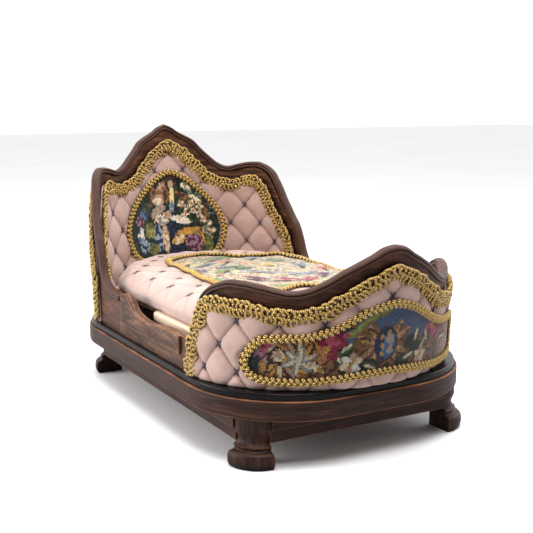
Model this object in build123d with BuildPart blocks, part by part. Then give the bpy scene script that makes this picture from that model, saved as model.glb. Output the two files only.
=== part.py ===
from build123d import *
import math
import os
from types import SimpleNamespace

os.makedirs("parts", exist_ok=True)

# A doll's show bed: a bowed plinth on four bracket feet carries a bent headboard and footboard with
# shaped rims, quilted pads, gimp and needlework, and a mattress that lifts out.
# Millimetres, +Z up. The origin is under the middle of the plinth, on the floor. The head is at +Y.

# ---- plinth ----
plinth_length = 400
plinth_width = 250
plinth_corner = 91
base_thickness = 16
deck_thickness = 5.5
deck_inset = 2.5
foot_height = 39.5
deck_bottom = foot_height + base_thickness
deck_top = deck_bottom + deck_thickness

# ---- feet and aprons ----
foot_x = 86
foot_end_y = -154
head_end_y = 139
apron_setback = 20
apron_thickness = 9
apron_bottom = 20
band_bottom = 30
band_proud = 2.5
toe_radius = 27.5
lip_radius = 22
neck_radius = 18.5
block_radius = 20.8
screw_inset = 9
screw_radius = 2
screw_head_radius = 4
screw_depth = 14

# ---- bent walls ----
wall = 5
side_x = 118
cap_height = 6
cap_lip = 1.6
pad_thickness = 4
inner_pad_thickness = 3.5
gimp_thickness = 1.5
gimp_width = 13
braid_width = 7.8
braid_thickness = 2
needlework_thickness = 1
cloth_gap = 0.1

# ---- side rails ----
rail_foot_end = -92.5
rail_head_end = 58
facing_bottom = 74
facing_foot_end = -82
facing_thickness = 3

# ---- mattress ----
mattress_half_width = 104
mattress_apex = 187
mattress_depth = 92
mattress_bottom = 81
mattress_board_thickness = 8.5
mattress_pad_thickness = 21.5
mattress_edge = 9
board_shoulder_y = 20
board_shoulder_radius = 14
ledge_thickness = 8
ledge_width = 16
ledge_head_end = 12

# The plan of a wall at any height is half an ellipse with straight sides: apex is how far it reaches
# from the bed's middle and depth is the ellipse's half axis. Both grow evenly up to the flare height.
# front is the rim seen from the end, as (x, z) from the middle outwards, and side is the rest of the
# rim seen from the side, as (distance from the bed's middle, z), from high to low. Beyond the corner
# it climbs clear of the front, because there the front alone shapes the rim.
head = SimpleNamespace(
    label="headboard", direction=1,
    apex=(197, 220), depth=(102, 106), flare_height=(deck_top, 252), straight_end=40,
    front=[(0, 252), (9, 248.5), (17, 243), (27, 238), (35, 233), (42, 225), (50, 217), (58, 209.5),
           (65, 205.6), (71, 205), (78, 207), (87, 209.3), (97, 210), (128, 210)],
    side=[(262, 400), (200, 290), (185, 240), (175, 214), (168, 209.5), (160, 206), (152, 199.5),
          (147, 192), (141, 182), (135, 171), (129, 162), (122, 152), (115, 143.5), (108, 130),
          (101, 114), (92, 104), (80, 100.5), (58, 98.5)],
    end_face=57, gimp_middle=21, gimp_side=20, outer_edge=112)
foot = SimpleNamespace(
    label="footboard", direction=-1,
    apex=(197, 216), depth=(102, 138), flare_height=(deck_top, 174), straight_end=70,
    front=[(0, 174), (10, 172), (20, 166.5), (28, 162.5), (40, 156), (48, 150.5), (57, 145),
           (65, 141), (73, 139.3), (81, 140.6), (91, 143.3), (102, 145), (128, 145)],
    side=[(240, 300), (205, 220), (188, 170), (172, 151), (158, 146), (143, 145), (131, 141.5),
          (121, 136.5), (112, 128), (107, 118), (103, 105), (99, 92), (95.5, 75), (93, deck_top)],
    end_face=None, gimp_middle=20, gimp_side=11, outer_edge=0)

# Needlework outlines, as half outlines (x, z) from the top middle to the bottom middle.
medallion_outline = [(0, 203.5), (14, 199), (30, 188), (46, 172), (58, 153), (62, 136), (58, 118),
                     (48, 104), (30, 98), (0, 96)]
panel_outline = [(0, 132.5), (14, 130.5), (26, 126), (36, 120.5), (47, 114.5), (58, 110.5),
                 (70, 108.3), (82, 107.6), (92, 105.5), (98, 99), (103, 87), (102, 76), (95, 67.5),
                 (80, 65), (60, 65), (38, 67), (18, 69), (0, 69.5)]
coverlet_outline = [(-50, 106), (-18, 126), (12, 124), (32, 100), (60, 98), (82, 82), (94, 42),
                    (96, 0), (90, -48), (66, -78), (32, -84), (0, -78), (-32, -88), (-56, -66),
                    (-62, -14), (-57, 44)]

# The rail's top edge seen from the side, as (y, z) from the foot end to the head end, with its lobe.
rail_crest = [(-78, 89), (-40, 88.5), (12, 88.5), (20, 91.5), (27, 97.5), (35, 102), (44, 102),
              (50, 99.5)]


def inset(points, distance, closed=False):
    """Shift an outline to its right as it runs, and leave out the points that a corner swallows."""
    last = len(points) - 1
    shifted = []
    for index, (u, v) in enumerate(points):
        before = points[index - 1] if closed else points[max(index - 1, 0)]
        after = points[(index + 1) % (last + 1)] if closed else points[min(index + 1, last)]
        du, dv = after[0] - before[0], after[1] - before[1]
        length = math.hypot(du, dv)
        place = (u + distance * dv / length, v - distance * du / length)
        if min(math.dist(place, point) for point in points) > 0.9 * abs(distance) - 0.01:
            shifted.append(place)
    return shifted


def mirrored_outline(half):
    """Close a half outline given from its top middle to its bottom middle."""
    return half + [(-x, z) for x, z in reversed(half[1:-1])]


def bow_section(apex, depth, straight_end, half_width, inner, outer):
    """Sketch lines of a U in plan, between two offsets from its outer face."""
    centre = apex - depth
    for offset in (inner, outer):
        reach = half_width + offset
        EllipticalCenterArc((0, centre), reach, depth + offset, start_angle=0, arc_size=180)
        for sign in (1, -1):
            Line((sign * reach, centre), (sign * reach, straight_end))
    for sign in (1, -1):
        Line((sign * (half_width + inner), straight_end), (sign * (half_width + outer), straight_end))


def wall_layer(end, inner, outer):
    """A flared U-shaped layer between two offsets, before its rim is cut, drawn towards +Y."""
    with BuildPart() as layer:
        for apex, depth, height in zip(end.apex, end.depth, end.flare_height):
            with BuildSketch(Plane.XY.offset(height)):
                with BuildLine():
                    bow_section(apex, depth, end.straight_end, side_x, inner, outer)
                make_face()
        loft(ruled=True)
    return layer.part


def rim_region(end, middle_inset, side_inset, floor_y=0):
    """The space under a rim moved in by an inset, and beyond floor_y from the bed's middle."""
    front = inset(end.front, middle_inset)
    front = [(0, end.front[0][1] - middle_inset)] + [(x, z) for x, z in front if x > 4]
    edge, shoulder = front[-1]
    side = [(y, z) for y, z in inset(end.side, -side_inset) if y > floor_y + 3 and z > deck_top + 6]
    end_y = max(end.end_face or side[-1][0] - 1, floor_y)
    with BuildPart() as region:
        with BuildSketch(Plane.XZ):
            with BuildLine():
                Spline([(-x, z) for x, z in reversed(front[1:])] + front)
                Polyline((-edge, shoulder), (-edge, deck_top), (edge, deck_top), (edge, shoulder))
            make_face()
        extrude(amount=300, both=True)
        with BuildSketch(Plane.YZ):
            with BuildLine():
                Spline(side)
                Polyline(side[-1], (end_y, side[-1][1]), (end_y, deck_top),
                         (side[0][0], deck_top), side[0])
            make_face()
        extrude(amount=200, both=True, mode=Mode.INTERSECT)
    return region.part


def front_prism(outline):
    """A prism along Y, towards the end of the bed, with an outline of (x, z) points as its section."""
    with BuildPart() as prism:
        with BuildSketch(Plane.XZ):
            with BuildLine():
                Spline(outline, periodic=True)
            make_face()
        extrude(amount=-300)
    return prism.part


def trimmed_layer(end, inner, outer, keep, cut=None):
    """A wall layer kept inside one region and outside another, turned to its own end of the bed."""
    with BuildPart() as piece:
        add(wall_layer(end, inner, outer))
        add(keep, mode=Mode.INTERSECT)
        if cut is not None:
            add(cut, mode=Mode.SUBTRACT)
    if end.direction < 0:
        return piece.part.mirror(Plane.XZ)
    return piece.part


def save(piece, label):
    """Label a finished piece and write its STEP file."""
    piece.label = label
    export_step(piece, f"parts/{label}.step")


# ---- plinth: a thick base board with a thin deck on it ----
with BuildPart() as base_board:
    with BuildSketch(Plane.XY.offset(foot_height)):
        RectangleRounded(plinth_width, plinth_length, plinth_corner)
    extrude(amount=base_thickness)
    fillet(base_board.edges().group_by(Axis.Z)[-1], 1.2)
    fillet(base_board.edges().group_by(Axis.Z)[0], 1.2)
    with Locations(*[(sign * (foot_x + screw_inset), y + math.copysign(screw_inset, y), deck_bottom)
                     for sign in (1, -1) for y in (foot_end_y, head_end_y)]):
        CounterSinkHole(screw_radius, screw_head_radius)
save(base_board.part, "base_board")

with BuildPart() as deck_board:
    with BuildSketch(Plane.XY.offset(deck_bottom)):
        RectangleRounded(plinth_width - 2 * deck_inset, plinth_length - 2 * deck_inset,
                         plinth_corner - deck_inset)
    extrude(amount=deck_thickness)
    fillet(deck_board.edges().group_by(Axis.Z)[-1], 1.5)
save(deck_board.part, "deck_board")


def bracket_foot(x, y):
    """A quarter-round foot, its profile turned about its inner vertical corner.

    From the top it is a block, a waist, a lip over a groove, and a bulging toe.
    """
    with BuildPart() as bracket:
        with BuildSketch(Plane((x, y, 0), x_dir=(1, 0, 0), z_dir=(0, -1, 0))):
            with BuildLine():
                Polyline((toe_radius - 2.5, 0), (0, 0), (0, foot_height), (block_radius, foot_height),
                         (block_radius, band_bottom + 2))
                Spline((block_radius, band_bottom + 2), (block_radius - 0.8, 27.5), (neck_radius, 23),
                       (neck_radius + 0.8, 20), (lip_radius, 17.5))
                Line((lip_radius, 17.5), (lip_radius, 16.4))
                Spline((lip_radius, 16.4), (lip_radius - 0.9, 14.9), (lip_radius + 0.6, 13.4),
                       (toe_radius - 2.5, 13))
                Spline((toe_radius - 2.5, 13), (toe_radius - 0.6, 11), (toe_radius, 7.5),
                       (toe_radius - 0.6, 3), (toe_radius - 2.5, 0))
            make_face()
        revolve(axis=Axis((x, y, 0), (0, 0, 1)), revolution_arc=90)
        with Locations((x + screw_inset, y + screw_inset, foot_height - screw_depth / 2)):
            Cylinder(screw_radius, screw_depth, mode=Mode.SUBTRACT)
    return bracket.part


for end_name, y in (("foot", foot_end_y), ("head", head_end_y)):
    right_foot = bracket_foot(foot_x, abs(y))
    if y < 0:
        right_foot = right_foot.mirror(Plane.XZ)
    save(right_foot, f"{end_name}_end_foot_right")
    save(right_foot.mirror(Plane.YZ), f"{end_name}_end_foot_left")

with BuildPart() as foot_screws:
    with BuildSketch(Plane.XZ):
        with BuildLine():
            Polyline((0, foot_height - screw_depth), (screw_radius, foot_height - screw_depth),
                     (screw_radius, deck_bottom - (screw_head_radius - screw_radius)),
                     (screw_head_radius, deck_bottom), (0, deck_bottom), (0, foot_height - screw_depth))
        make_face()
    revolve(axis=Axis.Z)
screw = foot_screws.part
save(Compound(children=[Pos(sign * (foot_x + screw_inset), y + math.copysign(screw_inset, y), 0) * screw
                        for sign in (1, -1) for y in (foot_end_y, head_end_y)]), "foot_screws")


# ---- aprons: boards between the feet, with a proud band along the top ----
def apron(middle, outward, length):
    """An apron board on the line between two feet, given its middle and the way its face looks."""
    back = apron_setback - apron_thickness
    band_face = apron_setback + band_proud
    across = Vector(*outward).cross(Vector(0, 0, 1))
    with BuildPart() as board:
        with BuildSketch(Plane(middle, x_dir=outward, z_dir=across)):
            with BuildLine():
                Polyline((back, apron_bottom), (apron_setback, apron_bottom),
                         (apron_setback, band_bottom), (band_face, band_bottom),
                         (band_face, foot_height), (back, foot_height), close=True)
            make_face()
        extrude(amount=length / 2, both=True)
    return board.part


for end_name, y, direction in (("foot", foot_end_y, -1), ("head", head_end_y, 1)):
    save(apron((0, y, 0), (0, direction, 0), 2 * foot_x), f"apron_{end_name}_end")
for side_name, sign in (("left", -1), ("right", 1)):
    save(apron((sign * foot_x, (foot_end_y + head_end_y) / 2, 0), (sign, 0, 0),
               head_end_y - foot_end_y), f"apron_{side_name}")


# ---- bent headboard and footboard, with their rims, pads, gimp and needlework ----
for end in (head, foot):
    under_rim = rim_region(end, 0, 0)
    under_cap = rim_region(end, cap_height, cap_height)
    half_gimp = gimp_width / 2
    save(trimmed_layer(end, -wall, 0, under_cap), f"{end.label}_shell")
    save(trimmed_layer(end, -wall - cap_lip, cap_lip, under_rim, under_cap), f"{end.label}_cap")
    faces = (("outer", 0, pad_thickness, gimp_thickness, end.outer_edge),
             ("inner", -wall, -inner_pad_thickness, -gimp_thickness, 0))
    for face_name, base, pad_depth, gimp_depth, edge in faces:
        pad_region = rim_region(end, end.gimp_middle - 3, end.gimp_side - 3, edge)
        gimp_region = rim_region(end, end.gimp_middle - half_gimp, end.gimp_side - half_gimp, edge)
        below_gimp = rim_region(end, end.gimp_middle + half_gimp, end.gimp_side + half_gimp,
                                edge + gimp_width if edge else 0)
        pad_face = base + pad_depth
        pad_span = sorted((base, pad_face))
        gimp_span = sorted((pad_face, pad_face + gimp_depth))
        save(trimmed_layer(end, *pad_span, pad_region), f"{end.label}_{face_name}_pad")
        save(trimmed_layer(end, *gimp_span, gimp_region, below_gimp), f"{end.label}_{face_name}_gimp")

needlework = (
    (head, mirrored_outline(medallion_outline), -wall - inner_pad_thickness, -1, "headboard_medallion"),
    (foot, mirrored_outline(panel_outline), pad_thickness, 1, "footboard_panel"))
for end, outline, base, outward, label in needlework:
    cloth_span = sorted((base, base + outward * needlework_thickness))
    braid_span = sorted((base, base + outward * braid_thickness))
    window = front_prism(inset(outline, braid_width, closed=True))
    cloth = front_prism(inset(outline, braid_width + cloth_gap, closed=True))
    save(trimmed_layer(end, *cloth_span, cloth), label)
    save(trimmed_layer(end, *braid_span, front_prism(outline), window), f"{label}_braid")


# ---- side rails with their applied facings, and the ledges that carry the mattress board ----
def rail_board(inner_x, outer_x, bottom, foot_y, head_y):
    """A board on the right side of the bed with the rail's shaped top edge."""
    with BuildPart() as board:
        with BuildSketch(Plane.YZ.offset(inner_x)):
            with BuildLine():
                Spline(rail_crest)
                Polyline(rail_crest[-1], (head_y, rail_crest[-1][1] - 4), (head_y, bottom),
                         (foot_y, bottom), (foot_y, rail_crest[0][1]), rail_crest[0])
            make_face()
        extrude(amount=outer_x - inner_x)
    return board.part


facing_head_end = rail_crest[-1][0] - 4
rail = rail_board(side_x - wall, side_x, deck_top, rail_foot_end, head.end_face)
facing = rail_board(side_x, side_x + facing_thickness, facing_bottom, facing_foot_end, facing_head_end)
with BuildPart() as ledge:
    with BuildSketch(Plane.XY.offset(mattress_bottom - ledge_thickness)):
        with Locations((side_x - wall - ledge_width / 2, (facing_foot_end + ledge_head_end) / 2)):
            Rectangle(ledge_width, ledge_head_end - facing_foot_end)
    extrude(amount=ledge_thickness)
for label, piece in (("side_rail", rail), ("rail_facing", facing), ("mattress_ledge", ledge.part)):
    save(piece, f"{label}_right")
    save(piece.mirror(Plane.YZ), f"{label}_left")


# ---- mattress: a board, a quilted pad and a needlework cartouche edged with braid ----
def mattress_plan(height, setback=0):
    """The closed outline of the mattress in plan at a height."""
    with BuildSketch(Plane.XY.offset(height)) as plan:
        centre = mattress_apex - mattress_depth
        with BuildLine():
            for sign, start in ((1, 0), (-1, 180)):
                EllipticalCenterArc((0, sign * centre), mattress_half_width - setback,
                                    mattress_depth - setback, start_angle=start, arc_size=180)
                Line((sign * (mattress_half_width - setback), -centre),
                     (sign * (mattress_half_width - setback), centre))
        make_face()
    return plan.sketch


pad_bottom = mattress_bottom + mattress_board_thickness
pad_top = pad_bottom + mattress_pad_thickness
with BuildPart() as mattress_board:
    add(mattress_plan(mattress_bottom))
    extrude(amount=mattress_board_thickness)
    # Beyond its rounded shoulders, towards the head, the board is narrower.
    shoulder_x = mattress_half_width - board_shoulder_radius
    shoulder_start = board_shoulder_y - board_shoulder_radius
    with BuildSketch(Plane.XY.offset(mattress_bottom)):
        with Locations((shoulder_x, shoulder_start), (-shoulder_x, shoulder_start)):
            Rectangle(4 * board_shoulder_radius, 2 * mattress_apex,
                      align=(Align.CENTER, Align.MIN))
            Circle(board_shoulder_radius, mode=Mode.SUBTRACT)
        with Locations((0, shoulder_start)):
            Rectangle(2 * shoulder_x, 2 * mattress_apex, align=(Align.CENTER, Align.MIN),
                      mode=Mode.SUBTRACT)
    extrude(amount=mattress_board_thickness, mode=Mode.SUBTRACT)
save(mattress_board.part, "mattress_board")

with BuildPart() as mattress_pad:
    add(mattress_plan(pad_bottom))
    extrude(amount=mattress_pad_thickness)
    fillet(mattress_pad.edges().group_by(Axis.Z)[-1], mattress_edge)
save(mattress_pad.part, "mattress_pad")


def plan_slab(outline, height, thickness):
    """A flat piece lying at a height, with a closed smooth outline of (x, y) points."""
    with BuildPart() as slab:
        with BuildSketch(Plane.XY.offset(height)):
            with BuildLine():
                Spline(outline, periodic=True)
            make_face()
        extrude(amount=thickness)
    return slab.part


coverlet_window = inset(coverlet_outline, braid_width, closed=True)
coverlet_cloth = inset(coverlet_outline, braid_width + cloth_gap, closed=True)
save(plan_slab(coverlet_cloth, pad_top, needlework_thickness), "coverlet")
with BuildPart() as coverlet_braid:
    add(plan_slab(coverlet_outline, pad_top, braid_thickness))
    add(plan_slab(coverlet_window, pad_top, braid_thickness), mode=Mode.SUBTRACT)
save(coverlet_braid.part, "coverlet_braid")
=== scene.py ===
import math
import random

import bpy
import numpy as np
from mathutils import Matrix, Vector, noise
from mathutils.bvhtree import BVHTree


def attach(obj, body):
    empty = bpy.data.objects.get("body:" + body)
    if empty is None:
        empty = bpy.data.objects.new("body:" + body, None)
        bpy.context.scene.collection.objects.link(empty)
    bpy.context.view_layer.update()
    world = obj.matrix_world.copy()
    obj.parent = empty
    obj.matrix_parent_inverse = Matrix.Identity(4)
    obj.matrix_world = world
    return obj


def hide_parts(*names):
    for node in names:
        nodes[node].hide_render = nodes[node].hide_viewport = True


# A doll's show bed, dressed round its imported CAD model. Sizes are in millimetres until a mesh is made.
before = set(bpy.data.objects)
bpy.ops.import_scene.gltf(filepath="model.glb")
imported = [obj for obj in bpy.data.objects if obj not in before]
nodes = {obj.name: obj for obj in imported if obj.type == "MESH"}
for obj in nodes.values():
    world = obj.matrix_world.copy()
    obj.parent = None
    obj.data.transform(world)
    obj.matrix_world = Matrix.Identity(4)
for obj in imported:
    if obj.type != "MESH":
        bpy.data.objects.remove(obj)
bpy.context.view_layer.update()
rng = random.Random(7)

# ---- driving dimensions, the same as in the CAD part ----
MM = 0.001
deck_top = 61
wall = 5
side_x = 118
cap_height = 6
cap_lip = 1.6
pad_thickness = 4
inner_pad_thickness = 3.5
braid_width = 7.8
braid_pitch = 4.7
braid_slant = 2.8
bead_step = 1.5
gimp_pitch = 4.8
gimp_radius = 1.12
path_step = 0.8
edge_roll = 9
mattress_bottom = 81
pad_bottom = 89.5
pad_top = 111
mattress_half_width = 104
mattress_apex = 187
mattress_depth = 92
board_shoulder_y = 20
board_shoulder_radius = 14

medallion_outline = [(0, 203.5), (14, 199), (30, 188), (46, 172), (58, 153), (62, 136), (58, 118),
                     (48, 104), (30, 98), (0, 96)]
panel_outline = [(0, 132.5), (14, 130.5), (26, 126), (36, 120.5), (47, 114.5), (58, 110.5),
                 (70, 108.3), (82, 107.6), (92, 105.5), (98, 99), (103, 87), (102, 76), (95, 67.5),
                 (80, 65), (60, 65), (38, 67), (18, 69), (0, 69.5)]
coverlet_outline = [(-50, 106), (-18, 126), (12, 124), (32, 100), (60, 98), (82, 82), (94, 42),
                    (96, 0), (90, -48), (66, -78), (32, -84), (0, -78), (-32, -88), (-56, -66),
                    (-62, -14), (-57, 44)]


# ---- curves ----
def smooth_curve(points, closed=False, steps=16):
    """Points close together on a smooth curve through the given ones."""
    points = np.array(points, float)
    if closed:
        ends = np.vstack([points[-1:], points, points[:2]])
    else:
        ends = np.vstack([2 * points[0] - points[1], points, 2 * points[-1] - points[-2]])
    t = np.linspace(0, 1, steps, endpoint=False)[:, None]
    spans = [0.5 * (2 * b + (c - a) * t + (2 * a - 5 * b + 4 * c - d) * t**2
                    + (3 * b - a - 3 * c + d) * t**3)
             for a, b, c, d in zip(ends, ends[1:], ends[2:], ends[3:])]
    line = np.vstack(spans)
    return line if closed else np.vstack([line, points[-1:]])


def unit(vectors):
    """Vectors scaled to length 1."""
    return vectors / np.linalg.norm(vectors, axis=-1, keepdims=True)


def directions(line, closed=False):
    """The unit direction of a line at each of its points."""
    if closed:
        return unit(np.roll(line, -1, axis=0) - np.roll(line, 1, axis=0))
    return unit(np.gradient(line, axis=0))


def at_places(places, index, *fields):
    """The rows of each field, read at places between the index's places."""
    return [np.column_stack([np.interp(places, index, column) for column in field.T])
            for field in fields]


def inset(line, distance, closed=False):
    """Shift a dense line to its right as it runs, without the points that a corner swallows."""
    run = directions(line, closed)
    shifted = line + distance * np.column_stack([run[:, 1], -run[:, 0]])
    gaps = np.linalg.norm(shifted[:, None] - line[None], axis=2).min(axis=1)
    return shifted[gaps > abs(distance) - 0.05]


def mirrored(half):
    """A closed outline from its right half, given from the top middle to the bottom middle."""
    return half + [(-x, z) for x, z in reversed(half[1:-1])]


def inside(outline, a, b):
    """Whether each point (a, b) is inside a closed outline."""
    found = np.zeros(np.shape(a), bool)
    for (x0, y0), (x1, y1) in zip(outline, np.roll(outline, -1, axis=0)):
        crosses = (y0 > b) != (y1 > b)
        found ^= crosses & (a < (x1 - x0) * (b - y0) / (y1 - y0 + 1e-12) + x0)
    return found


def resample(points, step, closed=False):
    """Points a step apart along a 3-D line."""
    if closed:
        points = np.vstack([points, points[:1]])
    gaps = np.linalg.norm(np.diff(points, axis=0), axis=1)
    run = np.concatenate([[0], np.cumsum(gaps)])
    places = np.linspace(0, run[-1], max(2, round(run[-1] / step)) + 1)
    if closed:
        places = places[:-1]
    return at_places(places, run, points)[0]


class Wall:
    """The outer face of the bent headboard or footboard, a flared half ellipse with straight sides.

    A place on it is u, millimetres round the bend from the middle, and its height z.
    """

    def __init__(self, direction, apex, depth, top, front, side, end_face):
        self.direction = direction
        self.apex = apex
        self.depth = depth
        self.top = top
        self.front = smooth_curve(front)
        self.side = smooth_curve(side)
        self.end_face = end_face
        angle = np.linspace(0, math.pi / 2, 200)
        arc = np.column_stack([side_x * np.sin(angle), sum(depth) / 2 * np.cos(angle)])
        self.angle = angle
        self.run = np.concatenate([[0], np.cumsum(np.linalg.norm(np.diff(arc, axis=0), axis=1))])

    def flare(self, z):
        """The bend's centre and half depth at a height."""
        share = (z - deck_top) / (self.top - deck_top)
        apex = self.apex[0] + (self.apex[1] - self.apex[0]) * share
        depth = self.depth[0] + (self.depth[1] - self.depth[0]) * share
        return apex - depth, depth

    def point(self, u, z, offset=0):
        """Points in space at u and z, an offset outwards."""
        u, z, offset = np.broadcast_arrays(np.asarray(u, float), np.asarray(z, float), offset)
        centre, depth = self.flare(z)
        angle = np.interp(abs(u), self.run, self.angle)
        beyond = np.maximum(abs(u) - self.run[-1], 0)
        x = (side_x + offset) * np.sin(angle) * np.sign(u)
        y = centre + (depth + offset) * np.cos(angle) - beyond
        return np.stack([x, self.direction * y, z], axis=-1)

    def normal(self, u, z):
        """Unit outward normals at u and z."""
        across = self.point(u + 0.5, z) - self.point(u - 0.5, z)
        up = self.point(u, z + 0.5) - self.point(u, z - 0.5)
        return unit(np.cross(across, up) * -self.direction)

    def u_at(self, y, z):
        """How far round the bend the wall is y from the bed's middle."""
        centre, depth = self.flare(z)
        angle = np.arccos(np.clip((y - centre) / depth, 0, 1))
        return np.interp(angle, self.angle, self.run) + np.maximum(centre - y, 0)

    def u_of(self, x, offset=0):
        """How far round the bend a sideways place x on the wall is."""
        angle = np.arcsin(np.clip(abs(x) / (side_x + offset), 0, 1))
        return np.interp(angle, self.angle, self.run) * np.sign(x)

    def rim(self, u, middle=0, side=0):
        """The height of the rim at u, moved in by an inset at the front and another at the sides."""
        front = inset(self.front, middle) if middle else self.front
        flank = inset(self.side, -side) if side else self.side
        front = front[np.argsort(front[:, 0])]
        flank = flank[np.argsort(flank[:, 0])]
        u = np.asarray(u, float)
        z = np.full(u.shape, float(self.top))
        for _ in range(50):
            place = self.point(u, z)
            low = np.minimum(np.interp(abs(place[..., 0]), front[:, 0], front[:, 1]),
                             np.interp(abs(place[..., 1]), flank[:, 0], flank[:, 1]))
            z = 0.5 * z + 0.5 * low
        return z


head = Wall(
    1, (197, 220), (102, 106), 252,
    [(0, 252), (9, 248.5), (17, 243), (27, 238), (35, 233), (42, 225), (50, 217), (58, 209.5),
     (65, 205.6), (71, 205), (78, 207), (87, 209.3), (97, 210), (128, 210)],
    [(262, 400), (200, 290), (185, 240), (175, 214), (168, 209.5), (160, 206), (152, 199.5),
     (147, 192), (141, 182), (135, 171), (129, 162), (122, 152), (115, 143.5), (108, 130),
     (101, 114), (92, 104), (80, 100.5), (58, 98.5)], 57)
foot = Wall(
    -1, (197, 216), (102, 138), 174,
    [(0, 174), (10, 172), (20, 166.5), (28, 162.5), (40, 156), (48, 150.5), (57, 145),
     (65, 141), (73, 139.3), (81, 140.6), (91, 143.3), (102, 145), (128, 145)],
    [(240, 300), (205, 220), (188, 170), (172, 151), (158, 146), (143, 145), (131, 141.5),
     (121, 136.5), (112, 128), (107, 118), (103, 105), (99, 92), (95.5, 75), (93, deck_top)], 93)

medallion_rim = smooth_curve(mirrored(medallion_outline), closed=True)
panel_rim = smooth_curve(mirrored(panel_outline), closed=True)


# ---- meshes ----
def make_object(name, vertices, faces, material, smooth=True, ends=()):
    """A mesh object from points in millimetres, with any end faces after the others."""
    mesh = bpy.data.meshes.new(name)
    mesh.from_pydata((np.asarray(vertices) * MM).tolist(), [], np.asarray(faces).tolist() + list(ends))
    mesh.polygons.foreach_set("use_smooth", [smooth] * len(mesh.polygons))
    mesh.materials.append(material)
    mesh.update()
    made = bpy.data.objects.new(name, mesh)
    bpy.context.collection.objects.link(made)
    return made


def grid_faces(rows, columns, start=0, wrap=False):
    """Quads over a grid of vertices, closed round its columns if wrap is set."""
    index = np.arange(rows * columns).reshape(rows, columns) + start
    following = np.roll(index, -1, axis=1)
    last = columns if wrap else columns - 1
    quads = np.stack([index[:-1, :last], following[:-1, :last], following[1:, :last],
                      index[1:, :last]], axis=-1)
    return quads.reshape(-1, 4)


def mark_painted_shade(piece, values):
    """Store a painted shade on each vertex, from 0 to 1, for the cloth or wood to darken where shade falls
    in a seam, a channel or a groove.
    """
    layer = piece.data.attributes.new("painted_shade", "FLOAT", "POINT")
    layer.data.foreach_set("value", np.clip(values, 0, 1).astype(np.float32))


def closed_pad(name, front, back, material):
    """A closed piece between two grids of points of the same size."""
    rows, columns = front.shape[:2]
    count = rows * columns
    outside = grid_faces(rows, columns)
    inner = grid_faces(rows, columns, count)[:, ::-1]
    index = np.arange(count).reshape(rows, columns)
    edge = np.concatenate([index[0, :-1], index[:-1, -1], index[-1, :0:-1], index[:0:-1, 0]])
    after = np.roll(edge, -1)
    sides = np.stack([after, edge, edge + count, after + count], axis=-1)
    vertices = np.vstack([front.reshape(-1, 3), back.reshape(-1, 3)])
    return make_object(name, vertices, np.vstack([outside, inner, sides]), material)


class Tubes:
    """Tubes gathered into one mesh, with a UV map that runs along each tube and round it."""

    def __init__(self):
        self.vertices = []
        self.faces = []
        self.ends = []
        self.uvs = []
        self.count = 0

    def add(self, line, up, radius, sides=7, closed=False):
        """A tube along a line, with up giving a direction across it at each point."""
        run = directions(line, closed)
        across = unit(np.cross(run, up))
        upward = np.cross(across, run)
        turn = np.linspace(0, 2 * math.pi, sides, endpoint=False)
        radius = np.broadcast_to(radius, len(line))[:, None, None]
        ring = (across[:, None] * np.cos(turn)[None, :, None]
                + upward[:, None] * np.sin(turn)[None, :, None]) * radius + line[:, None]
        if not closed:
            ring[0] = line[0] + (ring[0] - line[0]) * 0.3
            ring[-1] = line[-1] + (ring[-1] - line[-1]) * 0.3
        faces = grid_faces(len(line), sides, self.count, wrap=True)
        if closed:
            last = np.arange(sides) + self.count + (len(line) - 1) * sides
            first = np.arange(sides) + self.count
            joint = np.stack([last, np.roll(last, -1), np.roll(first, -1), first], axis=-1)
            faces = np.vstack([faces, joint])
        else:
            last = self.count + (len(line) - 1) * sides
            self.ends.append(list(range(self.count + sides - 1, self.count - 1, -1)))
            self.ends.append(list(range(last, last + sides)))
        length = np.concatenate([[0], np.cumsum(np.linalg.norm(np.diff(line, axis=0), axis=1))])
        place = np.stack([np.repeat(length, sides), np.tile(np.arange(sides) / sides, len(line))],
                         axis=-1)
        self.vertices.append(ring.reshape(-1, 3))
        self.faces.append(faces)
        self.uvs.append(place)
        self.count += len(line) * sides

    def make(self, name, material):
        """The mesh object of all the tubes."""
        faces = np.vstack(self.faces)
        made = make_object(name, np.vstack(self.vertices), faces, material, ends=self.ends)
        loops = np.concatenate([faces.ravel(), *self.ends]).astype(int)
        layer = made.data.uv_layers.new(name="strand")
        layer.data.foreach_set("uv", np.vstack(self.uvs)[loops].ravel())
        return made


# ---- materials ----
def colour(red, green, blue):
    """A linear colour from everyday 0-255 values."""
    values = [value / 255 for value in (red, green, blue)]
    return (*[v / 12.92 if v <= 0.04045 else ((v + 0.055) / 1.055) ** 2.4 for v in values], 1)


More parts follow.
